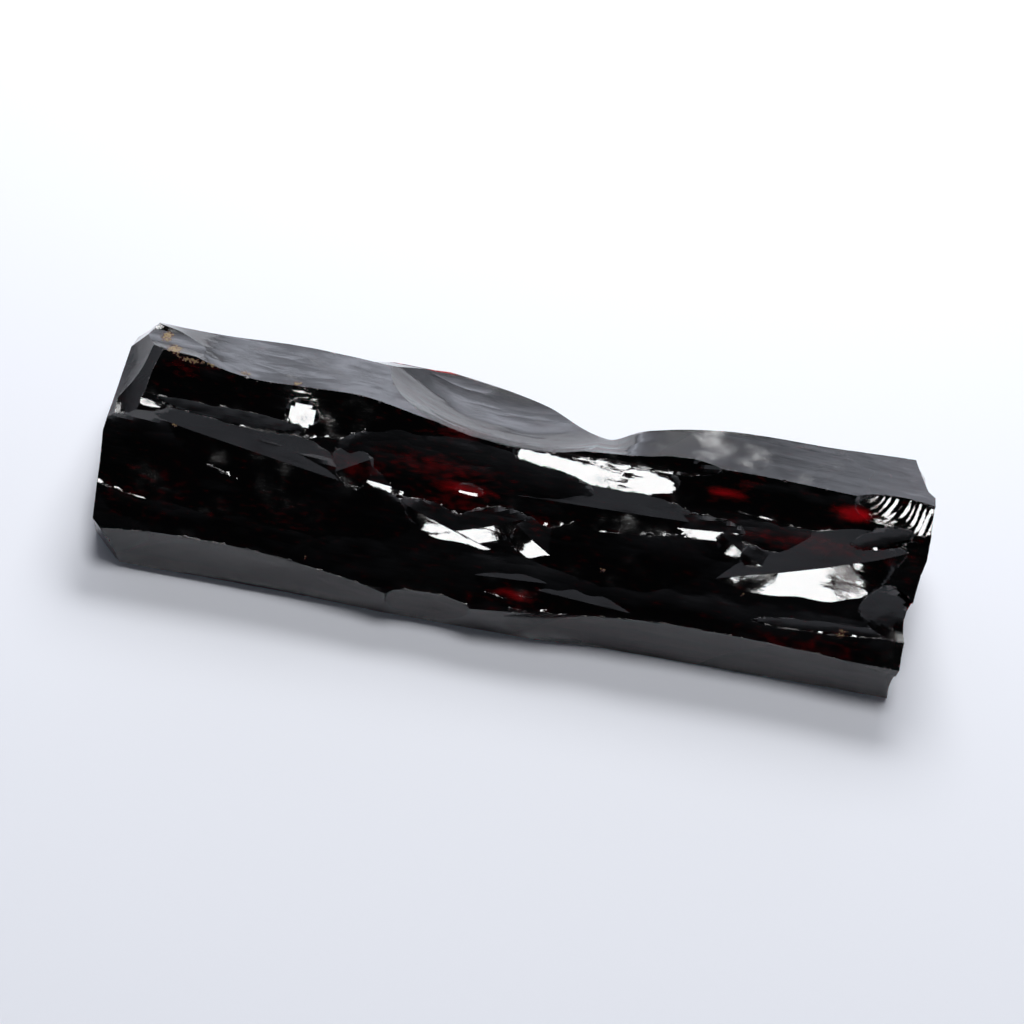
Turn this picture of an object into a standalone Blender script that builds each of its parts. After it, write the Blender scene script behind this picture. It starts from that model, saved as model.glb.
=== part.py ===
"""A rough ruby: one long, glassy, dark red chunk, broken off on every side.

The stone is knapped here the way it broke. A blank is lofted between its long edges, and
then shell-shaped scars are cut out of it one after another, so that the ridges of the
finished stone are the lines where neighbouring scars meet.

Shapes are placed in the stone's own slab frame, in millimetres: x runs along the stone, up
runs up its broad front face, and out points out of that face. LEAN turns that frame to the
attitude in which the stone lies, on its flat underside, with its front face leaning back.
"""

import math

import bmesh
import bpy
from mathutils import Matrix, Vector, noise

MM = 0.001
LENGTH = 71.0
HALF = LENGTH / 2
LEAN = math.radians(52)  # the front face's normal above the horizontal
REST_HEIGHT = -0.1  # the flat face it rests on, measured from the slab frame's origin

# The blank's long edges, each a list of (x, up, out), from the stone's left end to its right.
UNDER_FRONT = [(-36, 0.2, -1.6), (0, 0.4, -1.6), (36, 0.9, -1.6)]
LOWER_FRONT = [(-36, -0.5, 1.2), (-10, -0.5, 1.0), (0, -0.4, 0.9), (15, -0.3, 1.1), (36, 0.2, 1.2)]
FRONT_SHOULDER = [
    (-36, 1.9, 4.1), (-28, 2.7, 4.2), (-20, 2.6, 4.1), (-12, 1.7, 4.0), (-8, 1.0, 3.95),
    (-3, 1.2, 4.0), (6, 2.2, 4.1), (16, 2.9, 4.1), (36, 3.0, 4.2),
]
MIDDLE_FRONT = [
    (-36, 12.6, 4.3), (-24, 13.0, 4.35), (-19, 13.3, 4.45), (-12, 13.2, 4.2), (-6, 13.4, 4.1),
    (1, 13.6, 4.3), (7, 13.7, 4.35), (14, 13.6, 4.25), (24, 13.6, 4.35), (36, 13.8, 4.3),
]
TOP_FRONT = [
    (-36, 21.4, 3.9), (-32, 19.6, 4.1), (-29, 17.9, 4.1), (-24, 17.0, 3.8), (-19, 17.2, 3.4),
    (-14, 17.3, 3.7), (-8, 16.4, 4.0), (-2, 15.9, 3.95), (2, 16.0, 3.6), (7, 16.5, 3.35),
    (11, 16.8, 3.5), (15, 17.0, 4.0), (22, 17.1, 4.1), (36, 16.8, 4.2),
]
CREST = [
    (-36, 20.4, -1.0), (-28, 20.3, -1.5), (-20, 20.7, -1.6), (-12, 20.5, -1.8),
    (0, 20.0, -2.2), (7, 17.8, -1.6), (10, 19.1, 0.6), (17, 20.4, 0.3), (27, 20.8, -0.6),
    (36, 21.3, -2.0),
]
REAR_SHOULDER = [
    (-36, 18.6, -7.2), (-22, 19.4, -7.6), (-11, 21.2, -8.0), (-4, 20.8, -8.2), (2, 19.7, -8.4),
    (7, 17.8, -8.4), (13, 18.7, -8.2), (18, 19.2, -8.0), (28, 19.6, -7.8), (36, 19.8, -7.4),
]
LOWER_REAR = [(-36, 14.6, -12.0), (0, 14.8, -12.0), (36, 14.6, -11.8)]
BLANK_EDGES = (
    UNDER_FRONT, LOWER_FRONT, FRONT_SHOULDER, MIDDLE_FRONT, TOP_FRONT, CREST, REAR_SHOULDER,
    LOWER_REAR,
)
STATIONS = 25

# Each scar is a shallow bowl broken out of the stone:
# (name, centre (x, up, out), lean, yaw, turn, half length, half width, depth).
# lean turns the side it faces from out towards up, and yaw turns it towards the right end.
# turn spins the bowl on the spot. The lengths are those of its rim on a flat face.
FRONT_SCARS = [
    ("upper_left_flute", (-26.0, 15.4, 4.1), 4, 0, -4, 9.0, 2.4, 0.15),
    ("middle_left_flute", (-24.0, 8.2, 3.85), 3, 0, -3, 13.0, 3.2, 0.15),
    ("lower_left_flute", (-22.0, 5.0, 4.15), -1, 0, -4, 15.0, 2.6, 0.15),
    ("upper_middle_flute", (-4.0, 12.4, 3.85), -3, 0, -3, 9.0, 2.8, 0.2),
    ("middle_flute", (-8.0, 8.0, 4.3), 2, 0, -2, 12.0, 3.2, 0.26),
    ("lower_middle_flute", (-4.5, 4.6, 4.1), -3, 0, 2, 14.0, 2.6, 0.15),
    ("upper_right_flute", (24.0, 15.4, 4.2), 1, 0, 0, 12.0, 1.7, 0.12),
    ("middle_right_flute", (9.5, 8.6, 4.2), 0, 0, 0, 9.0, 4.2, 0.35),
    ("lower_right_flute", (21.0, 4.7, 4.2), -2, 0, 1, 18.0, 2.4, 0.22),
    ("round_hollow", (-19.15, 14.7, 3.84), 20, 0, 0, 1.2, 1.15, 0.05),
    ("upper_left_lens", (-25.3, 13.9, 4.1), -16, 0, -2, 5.2, 0.9, 0.06),
    ("valley_flute", (-8.4, 11.0, 4.1), -1, 0, 2, 7.6, 1.8, 0.2),
    ("bright_band", (6.2, 14.9, 3.82), 18, 0, -2, 5.8, 1.9, 0.12),
    ("right_band", (22.0, 12.4, 4.2), -8, 0, 1, 8.5, 1.2, 0.06),
]
# A crease is a scar with two flat sides that meet in a valley. Its centre is the valley's middle, its
# lean and yaw are those of its lower side, and depth is how far the ends of the valley rise.
# The last value is how many degrees its upper side is folded out of the plane of the lower one.
CREASES = [
    ("star_long", (-4.7, 7.45, 3.72), 21, 0, 20, 5.2, 1.4, 0.35, 27),
    ("star_short", (-3.9, 7.3, 3.77), 21, 0, -17, 4.6, 1.3, 0.3, 27),
    ("slanted_glint", (2.9, 7.5, 3.76), 21, 0, -33, 2.8, 1.5, 0.35, 27),
    ("right_wedge", (24.0, 9.5, 3.42), 20, -2, 17, 7.4, 3.4, 0.5, 38),
    ("lower_left_lens", (-22.2, 10.85, 3.39), 7, 0, -8, 7.4, 2.2, 0.3, 25),
    ("lavender_lens", (5.4, 11.7, 3.64), 7, 0, 2, 8.6, 1.8, 0.25, 24),
    ("lower_middle_lens", (0.6, 4.4, 3.82), 5, 0, 4, 3.2, 1.4, 0.15, 23),
    ("lower_right_lens", (7.2, 3.7, 3.82), 5, 0, -3, 4.4, 1.6, 0.2, 23),
    ("small_fan", (-14.2, 11.3, 3.51), 7, 0, 30, 1.6, 1.6, 0.2, 27),
]
LOWER_SCARS = [
    ("lower_right_bevel", (22.0, 1.3, 1.5), -51, 0, -1, 14.0, 2.8, 0.2),
    ("thumb_mark", (-5.7, 1.1, 3.1), -52, 0, 0, 2.9, 2.1, 0.3),
]
TOP_SCARS = [
    ("top_shelf", (-24.0, 18.6, 2.6), 64, 0, -2, 12.0, 2.2, 0.3),
    ("scoop", (-2.0, 18.2, -0.8), 68, 3, 14, 8.6, 7.4, 1.7),
    ("scoop_back", (-6.8, 20.7, -7.3), 50, 0, -7, 5.5, 1.2, 0.12),
]
END_SCARS = [
    ("left_end_low", (-35.6, 6.0, -3.0), -75, -84.5, 0, 16.0, 14.0, 0.4),
    ("left_end_high", (-35.4, 15.0, -3.0), 75, -83.5, 0, 16.0, 14.0, 0.4),
    ("left_top_corner", (-34.0, 19.3, -2.0), 80, -47, 0, 6.0, 8.0, 0.2),
    ("left_outer_chamfer", (-34.3, 16.6, 2.0), 28, -48, 0, 3.0, 4.6, 0.3),
    ("left_inner_chamfer", (-33.4, 16.2, 3.2), 14, -34, 14, 2.2, 4.2, 0.15),
    ("lower_left_corner", (-33.9, 0.9, 1.0), -76, -42, 0, 4.0, 5.0, 0.3),
    ("right_end", (35.75, 9.0, -3.0), 0, 89, 0, 14.0, 16.0, 0.3),
    ("right_top_corner", (35.0, 20.0, -4.0), 70, 60, 0, 6.0, 5.0, 0.3),
    ("right_triangle", (32.2, 8.3, 3.8), -14, 16, -30, 2.2, 1.5, 0.12),
    ("right_upper_triangle", (31.3, 13.9, 3.9), -16, 4, 25, 2.4, 0.8, 0.1),
    ("right_corner", (32.6, 16.0, 3.72), 20, 2, 0, 3.3, 1.4, 0.06),
    ("right_notch_high", (35.3, 10.4, 1.0), -88, 84, 0, 8.0, 3.9, 0.7),
    ("right_notch_low", (35.5, 4.2, 1.0), -60, 88, 0, 8.0, 1.9, 0.6),
]
REAR_SCARS = [
    ("rear_long", (-17.0, 17.9, -10.0), 146, 0, 3, 21.0, 4.6, 1.0),
    ("rear_across", (-10.0, 15.4, -11.6), 150, 8, 25, 7.5, 3.6, 0.9),
    ("rear_right", (15.0, 18.3, -10.3), 141, -5, -5, 15.0, 5.0, 1.0),
    ("rear_end", (30.5, 17.4, -9.9), 152, 14, 30, 7.5, 5.0, 1.0),
    ("rear_deep", (-28.0, 16.8, -10.6), 156, -12, -15, 6.0, 3.4, 0.8),
]
UNDERSIDE_SCARS = [
    ("under_left", (-32.5, 8.5, -6.9), -128, -20, 0, 3.5, 5.0, 0.5),
    ("under_rear", (-12.0, 14.3, -11.4), -150, 0, 2, 10.0, 2.2, 0.6),
    ("under_right", (31.5, 11.0, -9.0), -148, 16, 10, 4.5, 4.0, 0.6),
]
SCARS = (
    FRONT_SCARS + CREASES + LOWER_SCARS + TOP_SCARS + END_SCARS + REAR_SCARS + UNDERSIDE_SCARS
)

RING_STEP = 1.2  # mm between a bowl's rings
SPOKES = 22
RIM_SHARE = 1.2  # how far past its rim a bowl keeps its even rings
CUTTER_HEIGHT = 6.0  # how far a cutter stands above the rim of its bowl
WIDEST_LID = 3.0  # how many times wider than its rim a cutter may open
WAVE = 0.035  # waviness of a broken surface, as a share of the scar's half width
MERGE = 1e-6  # m, points closer than this become one


def clear_scene():
    for old in list(bpy.data.objects):
        bpy.data.objects.remove(old, do_unlink=True)


def on_edge(edge, x):
    """The point of a long edge at this x, on a smooth curve through its listed points."""
    after = 1
    while after < len(edge) - 1 and x > edge[after][0]:
        after += 1
    left, right = Vector(edge[after - 1]), Vector(edge[after])
    before = Vector(edge[max(after - 2, 0)])
    beyond = Vector(edge[min(after + 1, len(edge) - 1)])
    share = (x - left.x) / (right.x - left.x)
    slope_in = (right - before) * (right.x - left.x) / (right.x - before.x)
    slope_out = (beyond - left) * (right.x - left.x) / (beyond.x - left.x)
    square, cube = share**2, share**3
    spot = left * (2 * cube - 3 * square + 1) + right * (3 * square - 2 * cube)
    spot += slope_in * (cube - 2 * square + share) + slope_out * (cube - square)
    return Vector((x, spot.y, spot.z))


def blank():
    """The unbroken bar: rings of edge points, joined from end to end."""
    mesh = bmesh.new()
    rings = []
    for i in range(STATIONS):
        x = HALF * (2 * i / (STATIONS - 1) - 1)
        rings.append([mesh.verts.new(on_edge(edge, x)) for edge in BLANK_EDGES])
    for near, far in zip(rings, rings[1:]):
        for i in range(len(near)):
            j = (i + 1) % len(near)
            mesh.faces.new((near[i], near[j], far[j], far[i]))
    mesh.faces.new(reversed(rings[0]))
    mesh.faces.new(rings[-1])
    bmesh.ops.recalc_face_normals(mesh, faces=mesh.faces)
    return mesh


def cutter(name, centre, lean, yaw, turn, half_length, half_width, depth, fold=None):
    """The cutter of one scar: a round-bottomed bowl or a folded crease, closed by a flat lid."""
    place = (
        Matrix.Translation(centre)
        @ Matrix.Rotation(-math.radians(lean), 4, "X")
        @ Matrix.Rotation(math.radians(yaw), 4, "Y")
        @ Matrix.Rotation(math.radians(turn), 4, "Z")
    )
    rings = max(3, round(RIM_SHARE * half_width / RING_STEP))
    lid_share = min(math.sqrt(1 + CUTTER_HEIGHT / depth), WIDEST_LID)
    wave_start = Vector((len(name), half_length, centre[0]))
    directions = [2 * math.pi * k / SPOKES for k in range(SPOKES)]

    def ground(x, y):
        """The height of the scar's surface over this spot of its rim's plane."""
        wave = WAVE * half_width * noise.noise(Vector((x, y, 0)) / half_width + wave_start)
        if fold is None:
            return depth * ((x / half_length) ** 2 + (y / half_width) ** 2 - 1) + wave
        return depth * (x / half_length) ** 4 + max(y, 0) * math.tan(math.radians(fold)) + wave

    def ring(share):
        return [(half_length * share * math.cos(a), half_width * share * math.sin(a)) for a in directions]

    mesh = bmesh.new()
    middle = mesh.verts.new(place @ Vector((0, 0, ground(0, 0))))
    loops = []
    for k in range(rings):
        spots = ring(RIM_SHARE * (k + 1) / rings)
        loops.append([mesh.verts.new(place @ Vector((x, y, ground(x, y)))) for x, y in spots])
    loops.append([mesh.verts.new(place @ Vector((x, y, CUTTER_HEIGHT))) for x, y in ring(lid_share)])
    for k in range(SPOKES):
        mesh.faces.new((middle, loops[0][(k + 1) % SPOKES], loops[0][k]))
    for inner, outer in zip(loops, loops[1:]):
        for k in range(SPOKES):
            j = (k + 1) % SPOKES
            mesh.faces.new((inner[k], inner[j], outer[j], outer[k]))
    mesh.faces.new(loops[-1])
    return mesh


def to_object(name, mesh):
    data = bpy.data.meshes.new(name)
    mesh.to_mesh(data)
    mesh.free()
    made = bpy.data.objects.new(name, data)
    bpy.context.scene.collection.objects.link(made)
    return made


def apply_modifiers(made):
    graph = bpy.context.evaluated_depsgraph_get()
    result = bpy.data.meshes.new_from_object(made.evaluated_get(graph))
    made.modifiers.clear()
    made.data = result


def knap(stone, scar):
    """Breaks one scar out of the stone."""
    tool = to_object("cutter_" + scar[0], cutter(*scar))
    cut = stone.modifiers.new(scar[0], "BOOLEAN")
    cut.operation = "DIFFERENCE"
    cut.object = tool
    apply_modifiers(stone)
    bpy.data.objects.remove(tool, do_unlink=True)


def stand(stone):
    """Lays the stone in its resting attitude, cuts its underside flat and centres it on the origin."""
    slab_to_row = Matrix(
        (
            (1, 0, 0, 0),
            (0, math.sin(LEAN), -math.cos(LEAN), 0),
            (0, math.cos(LEAN), math.sin(LEAN), -REST_HEIGHT),
            (0, 0, 0, 1),
        )
    )
    stone.data.transform(Matrix.Scale(MM, 4) @ slab_to_row)
    mesh = bmesh.new()
    mesh.from_mesh(stone.data)
    everything = mesh.verts[:] + mesh.edges[:] + mesh.faces[:]
    cut = bmesh.ops.bisect_plane(
        mesh, geom=everything, dist=MERGE, plane_co=(0, 0, 0), plane_no=(0, 0, -1), clear_outer=True
    )
    rim = [item for item in cut["geom_cut"] if isinstance(item, bmesh.types.BMEdge)]
    bmesh.ops.edgeloop_fill(mesh, edges=rim)
    bmesh.ops.remove_doubles(mesh, verts=mesh.verts, dist=MERGE)
    bmesh.ops.recalc_face_normals(mesh, faces=mesh.faces)
    low, high = [[pick(v.co[i] for v in mesh.verts) for i in range(3)] for pick in (min, max)]
    middle = Vector(((low[0] + high[0]) / 2, (low[1] + high[1]) / 2, low[2]))
    bmesh.ops.translate(mesh, verts=mesh.verts, vec=-middle)
    mesh.to_mesh(stone.data)
    mesh.free()


def ruby_material():
    made = bpy.data.materials.new("dark_ruby")
    made.use_nodes = True
    shader = made.node_tree.nodes["Principled BSDF"]
    shader.inputs["Base Color"].default_value = (0.09, 0.004, 0.008, 1)
    shader.inputs["Roughness"].default_value = 0.05
    shader.inputs["Metallic"].default_value = 0.0
    shader.inputs["IOR"].default_value = 1.77
    return made


def main():
    clear_scene()
    stone = to_object("ruby", blank())
    for scar in SCARS:
        knap(stone, scar)
    stand(stone)
    stone.data.materials.clear()
    stone.data.materials.append(ruby_material())


main()
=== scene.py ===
"""The rough ruby, dressed for its portrait: one dark, glassy chunk on a plain pale floor.

The frame's plain solid is replaced by the same stone at the scale of its real surface: the
same scars, but with swells, ripples and nibbled ridges, in clear, strongly absorbing red.
"""

import math
import random

import bmesh
import bpy
import numpy as np
from mathutils import Matrix, Quaternion, Vector, kdtree, noise


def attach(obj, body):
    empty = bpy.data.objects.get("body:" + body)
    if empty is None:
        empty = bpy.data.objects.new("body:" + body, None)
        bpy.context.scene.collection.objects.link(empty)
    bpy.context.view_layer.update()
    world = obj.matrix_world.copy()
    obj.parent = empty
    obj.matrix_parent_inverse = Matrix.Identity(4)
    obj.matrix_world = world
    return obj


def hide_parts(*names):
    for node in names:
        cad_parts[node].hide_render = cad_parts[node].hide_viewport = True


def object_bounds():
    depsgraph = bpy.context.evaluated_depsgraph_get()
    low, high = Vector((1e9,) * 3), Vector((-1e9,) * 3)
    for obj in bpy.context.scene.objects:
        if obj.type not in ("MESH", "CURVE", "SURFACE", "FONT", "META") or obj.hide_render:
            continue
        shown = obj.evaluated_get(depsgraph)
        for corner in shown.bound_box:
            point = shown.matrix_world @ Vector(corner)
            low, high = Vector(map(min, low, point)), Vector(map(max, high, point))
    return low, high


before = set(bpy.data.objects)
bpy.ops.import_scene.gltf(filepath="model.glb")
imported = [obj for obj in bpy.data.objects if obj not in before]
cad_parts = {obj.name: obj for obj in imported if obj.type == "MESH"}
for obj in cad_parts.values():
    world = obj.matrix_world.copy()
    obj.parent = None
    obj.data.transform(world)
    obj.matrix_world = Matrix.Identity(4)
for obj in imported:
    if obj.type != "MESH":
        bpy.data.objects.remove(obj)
cad_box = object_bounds()

MM = 0.001
SEED = 11

# ---------------------------------------------------------------- the stone's form, in millimetres
# Slab frame: x runs along the stone, up runs up its broad front face, out points out of it.

LENGTH = 71.0
HALF = LENGTH / 2
LEAN = math.radians(52)  # the front face's normal above the horizontal
REST_HEIGHT = -0.1  # the flat face it rests on, measured from the slab frame's origin

UNDER_FRONT = [(-36, 0.2, -1.6), (0, 0.4, -1.6), (36, 0.9, -1.6)]
LOWER_FRONT = [(-36, -0.5, 1.2), (-10, -0.5, 1.0), (0, -0.4, 0.9), (15, -0.3, 1.1), (36, 0.2, 1.2)]
FRONT_SHOULDER = [
    (-36, 1.9, 4.1), (-28, 2.7, 4.2), (-20, 2.6, 4.1), (-12, 1.7, 4.0), (-8, 1.0, 3.95),
    (-3, 1.2, 4.0), (6, 2.2, 4.1), (16, 2.9, 4.1), (36, 3.0, 4.2),
]
MIDDLE_FRONT = [
    (-36, 12.6, 4.3), (-24, 13.0, 4.35), (-19, 13.3, 4.45), (-12, 13.2, 4.2), (-6, 13.4, 4.1),
    (1, 13.6, 4.3), (7, 13.7, 4.35), (14, 13.6, 4.25), (24, 13.6, 4.35), (36, 13.8, 4.3),
]
TOP_FRONT = [
    (-36, 21.4, 3.9), (-32, 19.6, 4.1), (-29, 17.9, 4.1), (-24, 17.0, 3.8), (-19, 17.2, 3.4),
    (-14, 17.3, 3.7), (-8, 16.4, 4.0), (-2, 15.9, 3.95), (2, 16.0, 3.6), (7, 16.5, 3.35),
    (11, 16.8, 3.5), (15, 17.0, 4.0), (22, 17.1, 4.1), (36, 16.8, 4.2),
]
CREST = [
    (-36, 20.4, -1.0), (-28, 20.3, -1.5), (-20, 20.7, -1.6), (-12, 20.5, -1.8),
    (0, 20.0, -2.2), (7, 17.8, -1.6), (10, 19.1, 0.6), (17, 20.4, 0.3), (27, 20.8, -0.6),
    (36, 21.3, -2.0),
]
REAR_SHOULDER = [
    (-36, 18.6, -7.2), (-22, 19.4, -7.6), (-11, 21.2, -8.0), (-4, 20.8, -8.2), (2, 19.7, -8.4),
    (7, 17.8, -8.4), (13, 18.7, -8.2), (18, 19.2, -8.0), (28, 19.6, -7.8), (36, 19.8, -7.4),
]
LOWER_REAR = [(-36, 14.6, -12.0), (0, 14.8, -12.0), (36, 14.6, -11.8)]
BLANK_EDGES = (
    UNDER_FRONT, LOWER_FRONT, FRONT_SHOULDER, MIDDLE_FRONT, TOP_FRONT, CREST, REAR_SHOULDER,
    LOWER_REAR,
)

# Each scar is a shallow bowl broken out of the stone:
# (name, centre (x, up, out), lean, yaw, turn, half length, half width, depth).
# lean turns the side it faces from out towards up, and yaw turns it towards the right end.
# turn spins the bowl on the spot. The lengths are those of its rim on a flat face.
FRONT_SCARS = [
    ("upper_left_flute", (-26.0, 15.4, 4.1), 4, 0, -4, 9.0, 2.4, 0.15),
    ("middle_left_flute", (-24.0, 8.2, 3.85), 3, 0, -3, 13.0, 3.2, 0.15),
    ("lower_left_flute", (-22.0, 5.0, 4.15), -1, 0, -4, 15.0, 2.6, 0.15),
    ("upper_middle_flute", (-4.0, 12.4, 3.85), -3, 0, -3, 9.0, 2.8, 0.2),
    ("middle_flute", (-8.0, 8.0, 4.3), 2, 0, -2, 12.0, 3.2, 0.26),
    ("lower_middle_flute", (-4.5, 4.6, 4.1), -3, 0, 2, 14.0, 2.6, 0.15),
    ("upper_right_flute", (24.0, 15.4, 4.2), 1, 0, 0, 12.0, 1.7, 0.12),
    ("middle_right_flute", (9.5, 8.6, 4.2), 0, 0, 0, 9.0, 4.2, 0.35),
    ("lower_right_flute", (21.0, 4.7, 4.2), -2, 0, 1, 18.0, 2.4, 0.22),
    ("round_hollow", (-19.15, 14.7, 3.84), 20, 0, 0, 1.2, 1.15, 0.05),
    ("upper_left_lens", (-25.3, 13.9, 4.1), -16, 0, -2, 5.2, 0.9, 0.06),
    ("valley_flute", (-8.4, 11.0, 4.1), -1, 0, 2, 7.6, 1.8, 0.2),
    ("bright_band", (6.2, 14.9, 3.82), 18, 0, -2, 5.8, 1.9, 0.12),
    ("dark_strip", (7.5, 16.5, 3.35), 8, 0, 2, 6.5, 1.0, 0.08),
    ("right_band", (22.0, 12.4, 4.2), -8, 0, 1, 8.5, 1.2, 0.06),
    ("right_strip", (29.0, 5.6, 4.05), -14, 0, 5, 6.0, 0.5, 0.05),
]
# A crease is a scar with two flat sides that meet in a valley. Its centre is the valley's middle, its
# lean and yaw are those of its lower side, and depth is how far the ends of the valley rise.
# The last value is how many degrees its upper side is folded out of the plane of the lower one.
CREASES = [
    ("star_long", (-4.7, 7.45, 3.72), 21, 0, 20, 5.2, 1.4, 0.35, 27),
    ("star_short", (-3.9, 7.3, 3.77), 21, 0, -17, 4.6, 1.3, 0.3, 27),
    ("slanted_glint", (2.9, 7.5, 3.76), 21, 0, -33, 2.8, 1.5, 0.35, 27),
    ("right_wedge", (24.0, 9.5, 3.42), 20, -2, 17, 7.4, 3.4, 0.5, 38),
    ("swirl_left", (14.6, 11.45, 3.88), 21, 0, 5, 4.2, 0.9, 0.15, 27),
    ("swirl_middle", (19.4, 10.6, 3.93), 21, 0, -30, 1.9, 1.2, 0.25, 29),
    ("swirl_right", (22.0, 9.4, 3.97), 21, 0, -24, 2.2, 1.1, 0.2, 29),
    ("left_glint", (-31.7, 13.5, 4.11), 21, 0, -7, 1.9, 0.9, 0.2, 27),
    ("thin_glint", (-12.4, 10.35, 3.65), 21, 0, -5, 2.6, 0.8, 0.15, 27),
    ("red_glint", (-4.0, 11.0, 3.54), 21, 0, 0, 1.2, 0.6, 0.1, 25),
    ("lower_left_lens", (-22.2, 10.85, 3.39), 7, 0, -8, 7.4, 2.2, 0.3, 25),
    ("lavender_lens", (5.4, 11.7, 3.64), 7, 0, 2, 8.6, 1.8, 0.25, 24),
    ("lower_middle_lens", (0.6, 4.4, 3.82), 5, 0, 4, 3.2, 1.4, 0.15, 23),
    ("lower_right_lens", (7.2, 3.7, 3.82), 5, 0, -3, 4.4, 1.6, 0.2, 23),
    ("small_fan", (-14.2, 11.3, 3.51), 7, 0, 30, 1.6, 1.6, 0.2, 27),
]
LOWER_SCARS = [
    ("lower_right_bevel", (22.0, 1.3, 1.5), -51, 0, -1, 14.0, 2.8, 0.2),
    ("thumb_mark", (-5.7, 1.1, 3.1), -52, 0, 0, 2.9, 2.1, 0.3),
]
TOP_SCARS = [
    ("top_shelf", (-24.0, 18.6, 2.6), 64, 0, -2, 12.0, 2.2, 0.3),
    ("scoop", (-2.0, 18.2, -0.8), 68, 3, 14, 8.6, 7.4, 1.7),
    ("scoop_back", (-6.8, 20.7, -7.3), 50, 0, -7, 5.5, 1.2, 0.12),
]
END_SCARS = [
    ("left_end_low", (-35.6, 6.0, -3.0), -75, -84.5, 0, 16.0, 14.0, 0.4),
    ("left_end_high", (-35.4, 15.0, -3.0), 75, -83.5, 0, 16.0, 14.0, 0.4),
    ("left_top_corner", (-34.0, 19.3, -2.0), 80, -47, 0, 6.0, 8.0, 0.2),
    ("left_outer_chamfer", (-34.3, 16.6, 2.0), 28, -48, 0, 3.0, 4.6, 0.3),
    ("left_inner_chamfer", (-33.4, 16.2, 3.2), 14, -34, 14, 2.2, 4.2, 0.15),
    ("lower_left_corner", (-33.9, 0.9, 1.0), -76, -42, 0, 4.0, 5.0, 0.3),
    ("right_end", (35.75, 9.0, -3.0), 0, 89, 0, 14.0, 16.0, 0.3),
    ("right_top_corner", (35.0, 20.0, -4.0), 70, 60, 0, 6.0, 5.0, 0.3),
    ("right_triangle", (32.2, 8.3, 3.8), -14, 16, -30, 2.2, 1.5, 0.12),
    ("right_upper_triangle", (31.3, 13.9, 3.9), -16, 4, 25, 2.4, 0.8, 0.1),
    ("right_corner", (32.6, 16.0, 3.72), 20, 2, 0, 3.3, 1.4, 0.06),
    ("right_notch_high", (35.3, 10.4, 1.0), -88, 84, 0, 8.0, 3.9, 0.7),
    ("right_notch_low", (35.5, 4.2, 1.0), -60, 88, 0, 8.0, 1.9, 0.6),
]
REAR_SCARS = [
    ("rear_long", (-17.0, 17.9, -10.0), 146, 0, 3, 21.0, 4.6, 1.0),
    ("rear_across", (-10.0, 15.4, -11.6), 150, 8, 25, 7.5, 3.6, 0.9),
    ("rear_right", (15.0, 18.3, -10.3), 141, -5, -5, 15.0, 5.0, 1.0),
    ("rear_end", (30.5, 17.4, -9.9), 152, 14, 30, 7.5, 5.0, 1.0),
    ("rear_deep", (-28.0, 16.8, -10.6), 156, -12, -15, 6.0, 3.4, 0.8),
]
UNDERSIDE_SCARS = [
    ("under_front_left", (-19.0, -0.45, 1.0), -72, 0, 0, 9.0, 0.9, 0.2),
    ("under_front_right", (24.0, -0.1, 1.1), -72, 0, 0, 8.0, 0.9, 0.2),
    ("under_left", (-32.5, 8.5, -6.9), -128, -20, 0, 3.5, 5.0, 0.5),
    ("under_rear", (-12.0, 14.3, -11.4), -150, 0, 2, 10.0, 2.2, 0.6),
    ("under_right", (31.5, 11.0, -9.0), -148, 16, 10, 4.5, 4.0, 0.6),
]
SCARS = (
    FRONT_SCARS + CREASES + LOWER_SCARS + TOP_SCARS + END_SCARS + REAR_SCARS + UNDERSIDE_SCARS
)


# ---------------------------------------------------------------- the real surface, in millimetres

CELL = 0.32  # between the points of a broken surface
WIDEST_GRID = 36  # a wide scar has no more points than this from its middle to its rim
OUTER_STEPS = 5  # coarser steps, from past a bowl's rim out to its lid
RIM_SHARE = 1.2  # how far past its rim a bowl keeps its shape and its even steps
CUTTER_HEIGHT = 6.0
WIDEST_LID = 3.0  # how many times wider than its rim a bowl's cutter may open
WAVE = 0.035  # a scar's slow swell, as a share of its half width
CREASE_WAVE = 0.045  # the same, on a crease
SWELL = 0.012  # the faster swells of a glassy surface
SWELL_SIZE = 1.7
# The arcs that spread from where a scar was struck: how tall, how far apart, and on what cells.
RIPPLE = (0.005, 0.85, CELL)
STRONG_RIPPLES = {
    "right_corner": (0.010, 0.55, 0.12),
    "upper_left_lens": (0.009, 0.45, 0.15),
    "right_wedge": (0.006, 0.6, 0.2),
    "bright_band": (0.006, 0.55, 0.2),
}
FRESHEST = "right_corner"  # the one scar rippled all over; the others are in patches
RIPPLE_PATCH = 3.0
RIPPLED_MORE = 0.1  # shifts the balance between rippled and smooth patches
STRUCK_SHARE = 1.3  # how far up from a scar's middle it was struck, in half widths
WANDER, WANDER_SIZE = 0.4, 2.2  # how far the arcs stray, and over what length
SLOW_SHARE, SLOW_PITCH = 0.7, 0.57  # a second, wider set of arcs beats with the first
SKIN_SWELL = 0.03
SKIN_SWELL_SIZE = 4.0
SOFT_ANGLE = math.radians(11)  # creases flatter than this are shaded round
CHIPS = 150
TRIES_PER_CHIP = 8
CHIP_TURN = (0.2, 0.8)  # how far from one side's normal to the other's a chip points, from and to
CHIP_SIZES = (0.1, 0.36)  # the smallest and the largest radius
CHIP_GAP = 1.3  # the least distance between two chips
CHIP_STRETCH = 1.5  # how much longer a chip is along its ridge
CHIP_LIFT = 0.72  # how far outside the ridge a chip's middle lies, as a share of its radius
CHIP_ANGLE = math.radians(24)  # only ridges sharper than this are nibbled
RIDGE_STEP = 0.2
WEAR_REACH = 0.3  # how far from a ridge its crushed edge reaches

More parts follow.
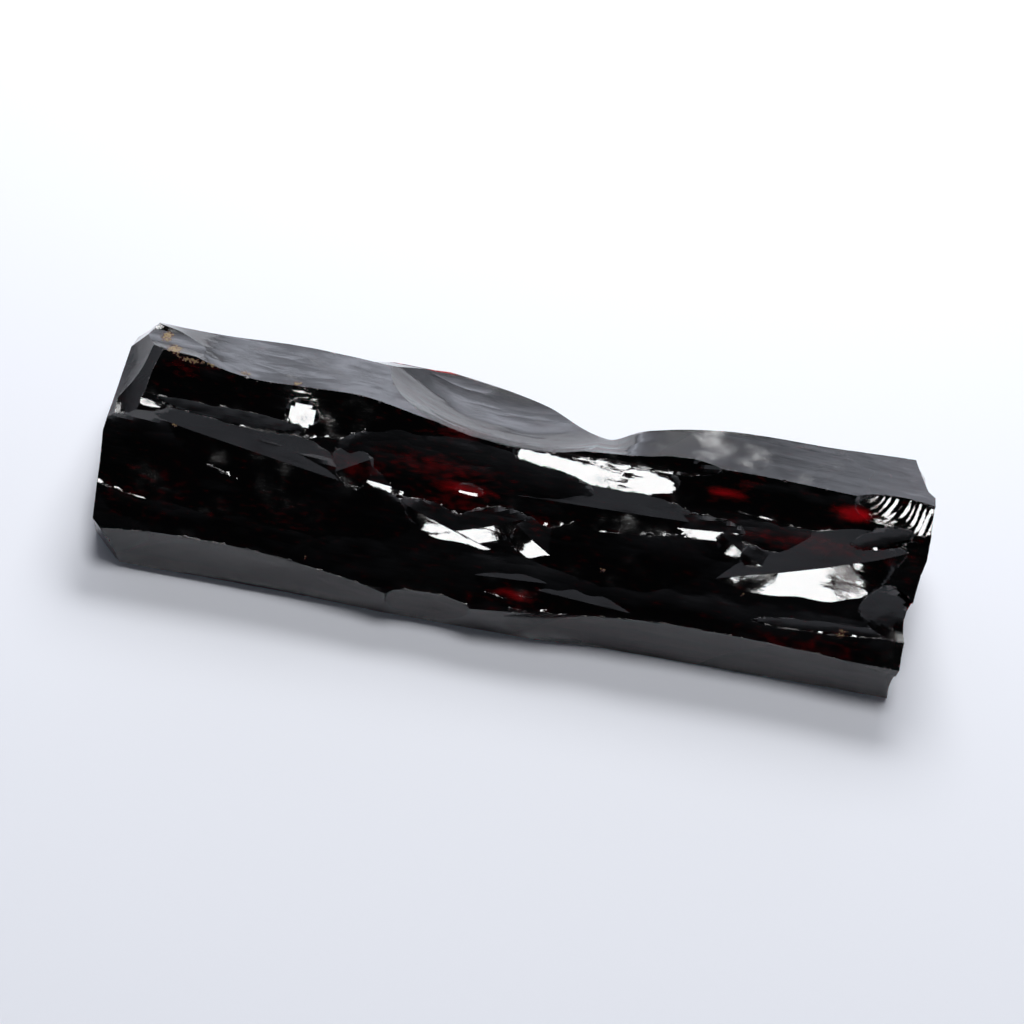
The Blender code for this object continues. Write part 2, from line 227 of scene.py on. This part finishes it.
# Painted red glints: red patches that stand in for light shining out of the front, as (x, up, half
# length, half height, strength).
PAINTED_RED_GLINTS = [
    (28.6, 15.4, 1.3, 0.55, 1.5),
    (17.4, 15.1, 1.5, 0.35, 0.9),
    (19.2, 16.2, 0.8, 0.3, 0.5),
    (1.4, 3.2, 1.6, 0.5, 0.6),
    (2.3, 9.6, 1.2, 0.8, 0.25),
    (-5.2, 9.9, 3.6, 0.9, 0.25),
    (-5.7, 16.0, 2.2, 0.8, 0.35),
    (-6.8, 12.6, 5.0, 1.1, 0.32),
    (-4.5, 11.2, 2.6, 0.5, 0.75),
    (25.5, 12.3, 7.0, 0.9, 0.32),
    (-30.5, 6.5, 3.2, 1.8, 0.1),
    (-29.5, 16.7, 2.2, 0.7, 0.22),
    (-13.5, 11.3, 2.8, 0.9, 0.28),
    (-20.7, 6.2, 5.5, 1.4, 0.06),
    (26.2, 3.6, 4.5, 0.9, 0.2),
    (6.0, 1.9, 6.0, 0.7, 0.15),
]
# Crumbs of yellow-brown stain, in the same terms.
STAINS = [
    (-31.8, 19.2, 0.8, 0.8, 0.98),
    (-30.8, 18.2, 1.1, 0.6, 0.96),
    (-29.3, 17.5, 1.7, 0.45, 0.92),
    (-27.6, 17.4, 1.6, 0.35, 0.8),
    (-24.6, 17.3, 0.9, 0.3, 0.9),
    (-20.1, 17.3, 0.8, 0.3, 0.9),
    (-29.6, 11.8, 0.6, 0.35, 0.8),
    (-6.3, 13.0, 0.5, 0.3, 0.9),
    (29.4, 5.2, 0.9, 0.7, 0.85),
    (-16.6, 3.0, 0.35, 0.35, 0.9),
    (25.5, 16.8, 2.5, 0.3, 0.6),
    (8.4, 6.6, 0.5, 0.3, 0.9),
    (20.5, 6.9, 0.5, 0.4, 0.8),
]


def on_edge(edge, x):
    """The point of a long edge at this x, on a smooth curve through its listed points."""
    after = 1
    while after < len(edge) - 1 and x > edge[after][0]:
        after += 1
    left, right = Vector(edge[after - 1]), Vector(edge[after])
    before = Vector(edge[max(after - 2, 0)])
    beyond = Vector(edge[min(after + 1, len(edge) - 1)])
    share = (x - left.x) / (right.x - left.x)
    slope_in = (right - before) * (right.x - left.x) / (right.x - before.x)
    slope_out = (beyond - left) * (right.x - left.x) / (beyond.x - left.x)
    square, cube = share**2, share**3
    spot = left * (2 * cube - 3 * square + 1) + right * (3 * square - 2 * cube)
    spot += slope_in * (cube - 2 * square + share) + slope_out * (cube - square)
    return Vector((x, spot.y, spot.z))


def swell(spot, size, start):
    """Three octaves of smooth noise, about -1 to 1."""
    return noise.fractal(spot / size + start, 0.7, 2.1, 3)


def mesh_object(name, points, faces):
    data = bpy.data.meshes.new(name)
    data.from_pydata(points, [], faces)
    made = bpy.data.objects.new(name, data)
    bpy.context.scene.collection.objects.link(made)
    return made


def blank():
    """The unbroken bar, on a grid fine enough to carry the swells of its skin."""
    middle = [on_edge(edge, 0) for edge in BLANK_EDGES]
    sides = list(zip(range(len(middle)), [*range(1, len(middle)), 0]))
    counts = [round((middle[j] - middle[i]).length / CELL) for i, j in sides]
    stations = round(LENGTH / CELL)
    start = Vector((3.0, 5.0, 7.0))
    points, faces = [], []
    for station in range(stations + 1):
        corners = [on_edge(edge, HALF * (2 * station / stations - 1)) for edge in BLANK_EDGES]
        for (i, j), count in zip(sides, counts):
            side = corners[j] - corners[i]
            outward = Vector((0, -side.z, side.y)).normalized()
            for k in range(count):
                spot = corners[i] + side * (k / count)
                depth = SKIN_SWELL * (1 + swell(spot, SKIN_SWELL_SIZE, start))
                points.append(spot - outward * depth)
    around = sum(counts)
    for station in range(stations):
        for k in range(around):
            near, following = station * around + k, station * around + (k + 1) % around
            faces.append((near, near + around, following + around, following))
    faces.append(tuple(range(around)))
    faces.append(tuple(reversed(range(stations * around, (stations + 1) * around))))
    return mesh_object("ruby_stone", points, faces)


def placed(centre, lean, yaw, turn):
    return (
        Matrix.Translation(centre)
        @ Matrix.Rotation(-math.radians(lean), 4, "X")
        @ Matrix.Rotation(math.radians(yaw), 4, "Y")
        @ Matrix.Rotation(math.radians(turn), 4, "Z")
    )


def steps_across(half, lid_share, cell):
    """Places across a bowl: even over it and just past its rim, then ever wider out to its lid."""
    count = min(max(4, round(RIM_SHARE * half / cell)), WIDEST_GRID)
    inner = [RIM_SHARE * half * k / count for k in range(count + 1)]
    left_over = lid_share * half - inner[-1]
    outer = [inner[-1] + left_over * ((k + 1) / OUTER_STEPS) ** 2 for k in range(OUTER_STEPS)]
    one_side = inner + outer
    return [-v for v in reversed(one_side[1:])] + one_side


def grid_cutter(name, place, xs, ys, height, top):
    """A closed block whose underside is the surface height(x, y) over a grid."""
    points = [place @ Vector((x, y, height(x, y))) for y in ys for x in xs]
    nx, ny = len(xs), len(ys)
    faces = []
    for j in range(ny - 1):
        for i in range(nx - 1):
            k = j * nx + i
            faces.append((k, k + nx, k + nx + 1, k + 1))
    loop = [(i, 0) for i in range(nx - 1)] + [(nx - 1, j) for j in range(ny - 1)]
    loop += [(i, ny - 1) for i in range(nx - 1, 0, -1)] + [(0, j) for j in range(ny - 1, 0, -1)]
    low = [j * nx + i for i, j in loop]
    high = [len(points) + k for k in range(len(loop))]
    points += [place @ Vector((xs[i], ys[j], top)) for i, j in loop]
    for a, b, high_a, high_b in zip(low, low[1:] + low[:1], high, high[1:] + high[:1]):
        faces.append((a, b, high_b, high_a))
    faces.append(tuple(high))
    return mesh_object("cutter_" + name, points, faces)


def scar_cutter(name, centre, lean, yaw, turn, half_length, half_width, depth, fold=None):
    """The cutter of one scar, a bowl or a folded crease, with the swells of broken glass."""
    lid_share = min(math.sqrt(1 + CUTTER_HEIGHT / depth), WIDEST_LID)
    start = Vector((len(name), half_length, centre[0]))
    ripple, pitch, cell = STRONG_RIPPLES.get(name, RIPPLE)
    struck = Vector((math.copysign(half_length, -centre[0]), STRUCK_SHARE * half_width, 0))
    wall = (CUTTER_HEIGHT - depth * (RIM_SHARE**2 - 1)) / (lid_share - RIM_SHARE)
    waviness = (WAVE if fold is None else CREASE_WAVE) * half_width

    def ground(x, y, share):
        """The scar's own surface, before its swells."""
        past = max(0, share - RIM_SHARE)
        if fold is None:
            return depth * (min(share, RIM_SHARE) ** 2 - 1) + wall * past
        rise = depth * min(abs(x) / half_length, RIM_SHARE) ** 4
        return rise + max(y, 0) * math.tan(math.radians(fold)) + wall * past

    def height(x, y):
        share = math.hypot(x / half_length, y / half_width)
        if share > 2 * RIM_SHARE:
            return ground(x, y, share)
        spot = Vector((x, y, 0))
        fade = min(1, 2 - share / RIM_SHARE)
        wave = waviness * noise.noise(spot / half_width + start)
        wave += SWELL * swell(spot, SWELL_SIZE, start)
        patch = max(0, noise.noise(spot / RIPPLE_PATCH - start) + RIPPLED_MORE)
        strength = 1 if name == FRESHEST else patch
        away = (spot - struck).length + WANDER * noise.noise(spot / WANDER_SIZE + start)
        phase = math.tau * away / pitch
        wave += ripple * strength * (math.sin(phase) + SLOW_SHARE * math.sin(SLOW_PITCH * phase))
        return ground(x, y, share) + fade * wave

    xs, ys = (steps_across(half, lid_share, cell) for half in (half_length, half_width))
    corner = ground(xs[-1], ys[-1], lid_share * math.sqrt(2))
    return grid_cutter(name, placed(centre, lean, yaw, turn), xs, ys, height, corner + 1)


def cut_away(stone, cutter):
    cut = stone.modifiers.new("cut", "BOOLEAN")
    cut.operation = "DIFFERENCE"
    cut.solver = "MANIFOLD"
    cut.object = cutter
    graph = bpy.context.evaluated_depsgraph_get()
    old = stone.data
    stone.data = bpy.data.meshes.new_from_object(stone.evaluated_get(graph))
    stone.modifiers.clear()
    bpy.data.meshes.remove(old)
    shape = cutter.data
    bpy.data.objects.remove(cutter, do_unlink=True)
    bpy.data.meshes.remove(shape)


def tiny_chip(spot, along, outward, radius):
    """A rounded pebble that bites a scallop out of the ridge at this spot."""
    across = outward.cross(along).normalized()
    ball = bmesh.new()
    bmesh.ops.create_icosphere(ball, subdivisions=2, radius=radius)
    axes = Matrix((along * CHIP_STRETCH, across, outward)).transposed()
    points = [spot + outward * (CHIP_LIFT * radius) + axes @ v.co for v in ball.verts]
    faces = [[v.index for v in face.verts] for face in ball.faces]
    ball.free()
    return points, faces


def nibble(stone):
    """Bites small chips out of the sharp ridges, all in one cut."""
    chance = random.Random(SEED)
    shape = bmesh.new()
    shape.from_mesh(stone.data)
    ridges = [
        edge
        for edge in shape.edges
        if len(edge.link_faces) == 2 and edge.is_convex and edge.calc_face_angle() > CHIP_ANGLE
    ]
    weights = [edge.calc_length() for edge in ridges]
    taken, points, faces = [], [], []
    for ridge in chance.choices(ridges, weights=weights, k=TRIES_PER_CHIP * CHIPS):
        start, end = (v.co for v in ridge.verts)
        spot = start.lerp(end, chance.random())
        if len(taken) == CHIPS or any((spot - other).length < CHIP_GAP for other in taken):
            continue
        taken.append(spot.copy())
        along = (end - start).normalized()
        first, second = (face.normal for face in ridge.link_faces)
        outward = first.lerp(second, chance.uniform(*CHIP_TURN)).normalized()
        radius = CHIP_SIZES[0] * (CHIP_SIZES[1] / CHIP_SIZES[0]) ** chance.random()
        chip_points, chip_faces = tiny_chip(spot, along, outward, radius)
        faces += [[k + len(points) for k in face] for face in chip_faces]
        points += chip_points
    shape.free()
    cut_away(stone, mesh_object("cutter_chips", points, faces))


def stand(stone):
    """Lays the stone down, cuts its underside flat and sets it in the frame's box."""
    slab_to_row = Matrix(
        (
            (1, 0, 0, 0),
            (0, math.sin(LEAN), -math.cos(LEAN), 0),
            (0, math.cos(LEAN), math.sin(LEAN), -REST_HEIGHT),
            (0, 0, 0, 1),
        )
    )
    mesh = bmesh.new()
    mesh.from_mesh(stone.data)
    mesh.transform(Matrix.Scale(MM, 4) @ slab_to_row)
    everything = mesh.verts[:] + mesh.edges[:] + mesh.faces[:]
    cut = bmesh.ops.bisect_plane(
        mesh, geom=everything, dist=1e-7, plane_co=(0, 0, 0), plane_no=(0, 0, -1), clear_outer=True
    )
    rim = [item for item in cut["geom_cut"] if isinstance(item, bmesh.types.BMEdge)]
    bmesh.ops.edgeloop_fill(mesh, edges=rim)
    bmesh.ops.remove_doubles(mesh, verts=mesh.verts, dist=1e-6)
    spots = np.array([v.co for v in mesh.verts])
    low, high = spots.min(axis=0), spots.max(axis=0)
    box_low, box_high = np.array(cad_box[0]), np.array(cad_box[1])
    shift = (box_low + box_high) / 2 - (low + high) / 2
    shift[2] = box_low[2] - low[2]
    bmesh.ops.translate(mesh, verts=mesh.verts, vec=Vector(shift))
    mesh.to_mesh(stone.data)
    mesh.free()


def mark(data, name, kind, values):
    made = data.attributes.new(name, kind, "POINT")
    made.data.foreach_set("vector" if kind == "FLOAT_VECTOR" else "value", np.ravel(values))


def ridge_points(data):
    """Points along the sharp ridges, a fraction of a millimetre apart."""
    shape = bmesh.new()
    shape.from_mesh(data)
    spots = []
    for edge in shape.edges:
        if len(edge.link_faces) == 2 and edge.is_convex and edge.calc_face_angle() > CHIP_ANGLE:
            start, end = (v.co for v in edge.verts)
            count = 1 + int((end - start).length / RIDGE_STEP)
            spots += [start.lerp(end, k / count) for k in range(count)]
    shape.free()
    return spots


def mark_surface(stone):
    """Notes each point's place in the slab, how near a ridge is, and how strong a painted red glint
    and a stain are there.
    """
    data = stone.data
    ridges = ridge_points(data)
    tree = kdtree.KDTree(len(ridges))
    for k, spot in enumerate(ridges):
        tree.insert(spot, k)
    tree.balance()
    spots = np.array([v.co for v in data.vertices])
    wear = np.array([math.exp(-tree.find(spot)[2] / WEAR_REACH) for spot in spots])
    mark(data, "slab", "FLOAT_VECTOR", spots)
    mark(data, "wear", "FLOAT", wear)
    # glow marks where red glints are painted on; stain marks the real yellow-brown crumbs.
    for name, places in (("glow", PAINTED_RED_GLINTS), ("stain", STAINS)):
        strongest = np.zeros(len(spots))
        for x, up, half_length, half_height, strength in places:
            away = ((spots[:, 0] - x) / half_length) ** 2 + ((spots[:, 1] - up) / half_height) ** 2
            strongest = np.maximum(strongest, strength * np.exp(-away) * (spots[:, 2] > 0))
        mark(data, name, "FLOAT", strongest)


def shade(stone):
    """Rounds the shading between ridges."""
    stone.data.shade_smooth()
    stone.data.set_sharp_from_angle(angle=SOFT_ANGLE)


stone = blank()
for scar in SCARS:
    cut_away(stone, scar_cutter(*scar))
nibble(stone)
mark_surface(stone)
stand(stone)
shade(stone)
stone.name = "ruby_stone"
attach(stone, "root")
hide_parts("ruby")


# ---------------------------------------------------------------- the material


def noise_of(tree, vector, scale, detail=2.0, stretch=(1, 1, 1)):
    """Smooth noise over a place in millimetres: scale is in waves per millimetre."""
    place = tree.nodes.new("ShaderNodeMapping")
    place.inputs["Scale"].default_value = stretch
    tree.links.new(vector, place.inputs["Vector"])
    made = tree.nodes.new("ShaderNodeTexNoise")
    made.inputs["Scale"].default_value = scale
    made.inputs["Detail"].default_value = detail
    tree.links.new(place.outputs["Vector"], made.inputs["Vector"])
    return made.outputs["Fac"]


def voronoi(tree, vector, scale, stretch=(1, 1, 1)):
    """Distance to the middle of the nearest of many small cells, in cells."""
    place = tree.nodes.new("ShaderNodeMapping")
    place.inputs["Scale"].default_value = stretch
    tree.links.new(vector, place.inputs["Vector"])
    made = tree.nodes.new("ShaderNodeTexVoronoi")
    made.inputs["Scale"].default_value = scale
    tree.links.new(place.outputs["Vector"], made.inputs["Vector"])
    return made.outputs["Distance"]


def step(tree, value, low, high):
    """A soft step from 0 at low to 1 at high."""
    made = tree.nodes.new("ShaderNodeMapRange")
    made.interpolation_type = "SMOOTHSTEP"
    made.inputs["From Min"].default_value = low
    made.inputs["From Max"].default_value = high
    tree.links.new(value, made.inputs["Value"])
    return made.outputs["Result"]


def calc(tree, operation, *values):
    made = tree.nodes.new("ShaderNodeMath")
    made.operation = operation
    for socket, value in zip(made.inputs, values):
        if isinstance(value, bpy.types.NodeSocket):
            tree.links.new(value, socket)
        else:
            socket.default_value = value
    return made.outputs[0]


def total(tree, *values):
    result = values[0]
    for value in values[1:]:
        result = calc(tree, "ADD", result, value)
    return result


def attribute(tree, name, output):
    made = tree.nodes.new("ShaderNodeAttribute")
    made.attribute_name = name
    return made.outputs[output]


# Colour and clarity.
IOR = 1.76
INSIDE_COLOUR = (0.55, 0.02, 0.03, 1)
INSIDE_DENSITY = 9000  # absorption per metre
# The stone's red: it tints the clear glass, and it is the colour of the painted red glints where they
# turn opaque.
RED = (0.80, 0.004, 0.012, 1)
CRUMB_BROWN = (0.22, 0.15, 0.055, 1)
PAINTED_GLINT_SHARE = 0.30  # how opaque a painted red glint is
# Roughness of a clean break, and what each kind of wear adds to it.
CLEAN_ROUGHNESS = 0.06
FROST_ROUGHNESS = 0.17
CRUSHED_ROUGHNESS = 0.22
CRUMB_ROUGHNESS = 0.4
# How fine each kind of relief is, in waves per millimetre, and how tall, in millimetres.
STREAK_SCALE, STREAK_STRETCH, STREAK_HEIGHT = 0.9, (0.16, 1, 1), 0.035
FLAKE_SCALE, FLAKE_STRETCH, FLAKE_HEIGHT = 0.75, (0.32, 1, 1), 0.05
FLAKED_SCALE, FLAKED_STEP = 0.2, (0.42, 0.62)
FROST_SCALE, FROST_STEP = 0.35, (0.46, 0.76)
GRIT_SCALE, GRIT_HEIGHT = 7.0, 0.024
PIT_SCALE, PIT_HEIGHT = 4.0, 0.035
BREAK_SCALE, BREAK_WEIGHT, CRUSHED_STEP = 2.0, 1.7, (1.75, 2.05)
CRUMB_SCALE, CRUMB_WEIGHT, CRUMB_STEP, CRUMB_HEIGHT = 6.0, 1.4, (1.42, 1.52), 0.05
# Noise that breaks up the painted red glints, and the step that turns them on.
PAINTED_GLINT_SCALE, PAINTED_GLINT_STRETCH, PAINTED_GLINT_WEIGHT, PAINTED_GLINT_STEP = 1.1, (1, 2.4, 1), 0.9, (0.5, 1.6)


def scaled(tree, value, factor):
    return calc(tree, "MULTIPLY", value, factor)


def relief(tree, slab, frost, crushed, crumbs):
    """The normal of the surface with its fine relief: streaks, flakes, grit, pits and crumbs."""
    streaks = noise_of(tree, slab, STREAK_SCALE, 4, STREAK_STRETCH)
    flaked = step(tree, noise_of(tree, slab, FLAKED_SCALE, 2), *FLAKED_STEP)
    flakes = calc(tree, "POWER", voronoi(tree, slab, FLAKE_SCALE, FLAKE_STRETCH), 2.0)
    grit = noise_of(tree, slab, GRIT_SCALE, 2)
    pits = voronoi(tree, slab, PIT_SCALE)
    height = total(
        tree,
        scaled(tree, streaks, STREAK_HEIGHT),
        scaled(tree, scaled(tree, flaked, flakes), FLAKE_HEIGHT),
        scaled(tree, scaled(tree, frost, grit), GRIT_HEIGHT),
        scaled(tree, scaled(tree, crushed, pits), PIT_HEIGHT),
        scaled(tree, crumbs, CRUMB_HEIGHT),
    )
    bump = tree.nodes.new("ShaderNodeBump")
    bump.inputs["Strength"].default_value = 1.0
    bump.inputs["Distance"].default_value = MM
    tree.links.new(height, bump.inputs["Height"])
    return bump.outputs["Normal"]


def ruby():
    """Clear, strongly absorbing red glass with frosted patches, crushed ridges, brown crumbs and
    painted red glints.
    """
    made = bpy.data.materials.new("ruby_dark_red")
    made.use_nodes = True
    tree = made.node_tree
    shader = tree.nodes["Principled BSDF"]
    slab = attribute(tree, "slab", "Vector")
    wear = attribute(tree, "wear", "Fac")
    # glow: how strongly a painted red glint stands at each point.
    glow = attribute(tree, "glow", "Fac")
    stain = attribute(tree, "stain", "Fac")

    frost = step(tree, noise_of(tree, slab, FROST_SCALE, 5), *FROST_STEP)
    broken = scaled(tree, noise_of(tree, slab, BREAK_SCALE, 5), BREAK_WEIGHT)
    crushed = step(tree, total(tree, wear, broken), *CRUSHED_STEP)
    crumbly = scaled(tree, noise_of(tree, slab, CRUMB_SCALE, 4), CRUMB_WEIGHT)
    crumbs = step(tree, total(tree, stain, crumbly), *CRUMB_STEP)
    # Painted red glints: opaque red patches lit by the lamp, standing in for light shining out
    # through the stone.
    painted_glint_breakup = scaled(tree, noise_of(tree, slab, PAINTED_GLINT_SCALE, 4, PAINTED_GLINT_STRETCH), PAINTED_GLINT_WEIGHT)
    painted_glints = step(tree, total(tree, glow, painted_glint_breakup), *PAINTED_GLINT_STEP)

    roughness = total(
        tree,
        CLEAN_ROUGHNESS,
        scaled(tree, frost, FROST_ROUGHNESS),
        scaled(tree, crushed, CRUSHED_ROUGHNESS),
        scaled(tree, crumbs, CRUMB_ROUGHNESS),
    )
    tree.links.new(roughness, shader.inputs["Roughness"])

    # Where painted red glints and brown crumbs lie, the glass turns partly opaque and shows its base
    # colour.
    opaque = calc(tree, "MINIMUM", total(tree, scaled(tree, painted_glints, PAINTED_GLINT_SHARE), crumbs), 1.0)
    tree.links.new(calc(tree, "SUBTRACT", 1.0, opaque), shader.inputs["Transmission Weight"])

    colour = tree.nodes.new("ShaderNodeMix")
    colour.data_type = "RGBA"
    red, brown = (socket for socket in colour.inputs if socket.type == "RGBA")
    red.default_value = RED
    brown.default_value = CRUMB_BROWN
    tree.links.new(crumbs, colour.inputs["Factor"])
    mixed = next(socket for socket in colour.outputs if socket.type == "RGBA")
    tree.links.new(mixed, shader.inputs["Base Color"])

    tree.links.new(relief(tree, slab, frost, crushed, crumbs), shader.inputs["Normal"])
    shader.inputs["IOR"].default_value = IOR
    inside = tree.nodes.new("ShaderNodeVolumeAbsorption")
    inside.inputs["Color"].default_value = INSIDE_COLOUR
    inside.inputs["Density"].default_value = INSIDE_DENSITY
    tree.links.new(inside.outputs[0], tree.nodes["Material Output"].inputs["Volume"])
    return made


stone.data.materials.clear()
stone.data.materials.append(ruby())


# ---------------------------------------------------------------- floor, light and camera

FLOOR_REACH = 6.0  # metres from the stone to the floor's edge
FLOOR_COLOUR = (0.82, 0.84, 0.90, 1)


def pale_floor():
    data = bpy.data.meshes.new("floor")
    level = cad_box[0][2]
    signs = [(-1, -1), (1, -1), (1, 1), (-1, 1)]
    corners = [(x * FLOOR_REACH, y * FLOOR_REACH, level) for x, y in signs]
    data.from_pydata(corners, [], [(0, 1, 2, 3)])
    floor = bpy.data.objects.new("floor", data)
    bpy.context.scene.collection.objects.link(floor)
    made = bpy.data.materials.new("pale_floor")
    made.use_nodes = True
    shader = made.node_tree.nodes["Principled BSDF"]
    shader.inputs["Base Color"].default_value = FLOOR_COLOUR
    shader.inputs["Roughness"].default_value = 1.0
    shader.inputs["Specular IOR Level"].default_value = 0.0
    data.materials.append(made)
    return floor


pale_floor()

# Brightness of the room by the height of the view, as (sine of the elevation, brightness).
FRONT_ROOM = [
    (0.0, 0.35), (0.2, 0.32), (0.36, 0.28), (0.47, 0.12), (0.6, 0.06), (0.72, 0.03),
    (0.82, 0.01),
]
BACK_ROOM = [
    (0.0, 1.1), (0.1, 1.5), (0.18, 2.4), (0.26, 1.4), (0.36, 1.3), (0.45, 0.95), (0.55, 0.5),
    (0.66, 0.12), (0.8, 0.03),
]
ROOM_TINT = (0.92, 0.96, 1.09)
# The glow sits behind the stone, from this much to this much back, and is dimmer to the right.
BEHIND_STEP = (0.3, 0.85)
RIGHT_STEP = (0.2, 0.45)
RIGHT_DIMMING = 0.8
LAMP_STRENGTH = 1.35
LAMP_WIDTH = math.radians(21)
LAMP_TILT = math.radians(-5)  # from straight above towards the back
BACK_LAMP_POWER = 0.50
BACK_LAMP_WIDTH = 0.12
BACK_LAMP_PLACE = (0, 0.18, 0.18)
BACK_LAMP_TILT = math.radians(-45)


def ramp(tree, factor, stops):
    made = tree.nodes.new("ShaderNodeValToRGB")
    elements = made.color_ramp.elements
    while len(elements) < len(stops):
        elements.new(0.5)
    for element, (position, brightness) in zip(elements, stops):
        element.position = position
        element.color = (*(brightness * tint for tint in ROOM_TINT), 1)
    tree.links.new(factor, made.inputs["Fac"])
    return made.outputs["Color"]


def surroundings():
    """A dim room above a bright table, with a soft glow low down behind the stone."""
    world = bpy.data.worlds.new("room")
    bpy.context.scene.world = world
    world.use_nodes = True
    tree = world.node_tree
    coordinates = tree.nodes.new("ShaderNodeTexCoord")
    parts = tree.nodes.new("ShaderNodeSeparateXYZ")
    tree.links.new(coordinates.outputs["Generated"], parts.inputs[0])
    behind = step(tree, parts.outputs["Y"], *BEHIND_STEP)
    right = step(tree, parts.outputs["X"], *RIGHT_STEP)
    glow = scaled(tree, behind, calc(tree, "SUBTRACT", 1.0, scaled(tree, right, RIGHT_DIMMING)))
    both = tree.nodes.new("ShaderNodeMix")
    both.data_type = "RGBA"
    tree.links.new(glow, both.inputs["Factor"])
    colours = [socket for socket in both.inputs if socket.type == "RGBA"]
    tree.links.new(ramp(tree, parts.outputs["Z"], FRONT_ROOM), colours[0])
    tree.links.new(ramp(tree, parts.outputs["Z"], BACK_ROOM), colours[1])
    result = next(socket for socket in both.outputs if socket.type == "RGBA")
    tree.links.new(result, tree.nodes["Background"].inputs["Color"])


surroundings()


def lamp():
    data = bpy.data.lights.new("soft_lamp", "SUN")
    data.energy = LAMP_STRENGTH
    data.angle = LAMP_WIDTH
    light = bpy.data.objects.new("soft_lamp", data)
    bpy.context.scene.collection.objects.link(light)
    light.rotation_euler = (LAMP_TILT, 0, 0)


lamp()


def back_lamp():
    """A small lamp behind the stone: the table dims towards the front, where the stone shades it."""
    data = bpy.data.lights.new("back_lamp", "AREA")
    data.shape = "DISK"
    data.size = BACK_LAMP_WIDTH
    data.energy = BACK_LAMP_POWER
    light = bpy.data.objects.new("back_lamp", data)
    bpy.context.scene.collection.objects.link(light)
    light.location = BACK_LAMP_PLACE
    light.rotation_euler = (BACK_LAMP_TILT, 0, 0)
    light.visible_glossy = False


back_lamp()

AZIMUTH, ELEVATION, ROLL = math.radians(-3), math.radians(52), math.radians(13.3)
DISTANCE = 0.30
PIXELS_PER_MM = 11.7
IMAGE = 1024
SENSOR = 36
AIM = Vector((0, -0.00346, 0.0076))
SHIFT_UP = 3.1  # pixels that the picture's middle lies above the point aimed at


def camera():
    data = bpy.data.cameras.new("camera")
    made = bpy.data.objects.new("camera", data)
    bpy.context.scene.collection.objects.link(made)
    bpy.context.scene.camera = made
    data.sensor_width = SENSOR
    data.lens = SENSOR * PIXELS_PER_MM * DISTANCE / MM / IMAGE
    data.shift_y = SHIFT_UP / IMAGE
    data.clip_start = 0.01
    data.clip_end = 20
    back = Vector(
        (
            math.sin(AZIMUTH) * math.cos(ELEVATION),
            -math.cos(AZIMUTH) * math.cos(ELEVATION),
            math.sin(ELEVATION),
        )
    )
    made.location = AIM + back * DISTANCE
    turn = (-back).to_track_quat("-Z", "Y") @ Quaternion((0, 0, 1), ROLL)
    made.rotation_euler = turn.to_euler()


camera()
bpy.context.scene.view_settings.view_transform = "Standard"
